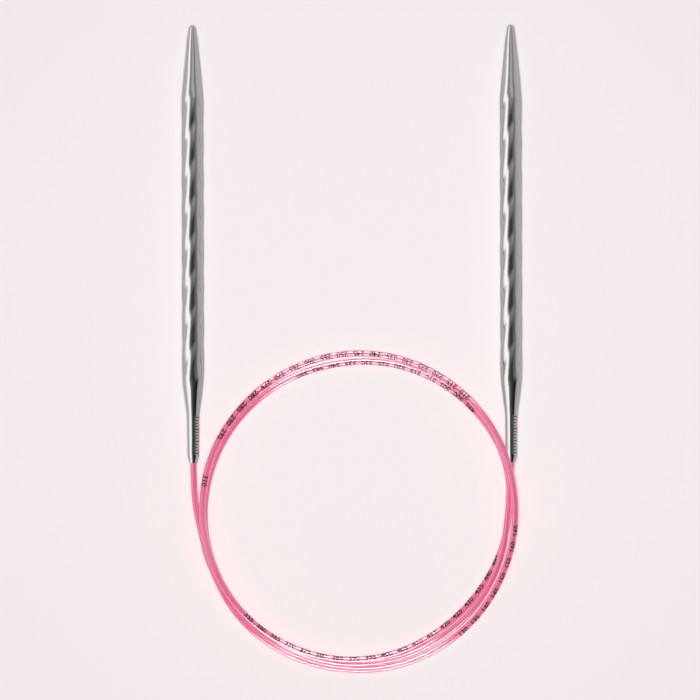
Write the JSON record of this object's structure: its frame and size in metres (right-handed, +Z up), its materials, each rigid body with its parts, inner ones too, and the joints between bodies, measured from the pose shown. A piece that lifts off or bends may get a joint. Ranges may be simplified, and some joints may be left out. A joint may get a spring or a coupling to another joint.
{
  "type": "circular knitting needle",
  "caption": "Circular knitting needle laid flat: hollow metal needles with twisted shafts side by side, joined by a flexible cord thrown in loose loops.",
  "frame": {"origin": "on the table, midway between the two needles and midway along their length", "axes": "+Y along both needles towards their points, +X from the left needle to the right, +Z up"},
  "size_m": [0.102, 0.1945, 0.0066],
  "materials": {
    "plated_metal": "polished nickel plate, softly square twisted shaft",
    "sleeve_metal": "plain turned steel, hidden in the neck",
    "cord": null
  },
  "bodies": {
    "cord": {"cord_loops": "cord", "left_lead": "cord", "right_lead": "cord"},
    "left_needle": {"left_needle": "plated_metal", "left_crimp_sleeve": "sleeve_metal", "left_cord_end": "cord"},
    "right_needle": {"right_needle": "plated_metal", "right_crimp_sleeve": "sleeve_metal", "right_cord_end": "cord"}
  },
  "joints": [
    {"name": "left_swing", "type": "hinge", "parent": "cord", "child": "left_needle", "pos_m": [-0.0477, -0.0736, 0.00328], "axis": [0, 0, 1], "range_deg": [-10, 75], "stiffness_Nm_per_rad": 0.02, "deforming": ["left_cord_end", "left_lead"]},
    {"name": "right_swing", "type": "hinge", "parent": "cord", "child": "right_needle", "pos_m": [0.0477, -0.0716, 0.00328], "axis": [0, 0, 1], "range_deg": [-75, 0], "stiffness_Nm_per_rad": 0.02, "deforming": ["right_cord_end", "right_lead"]}
  ]
}
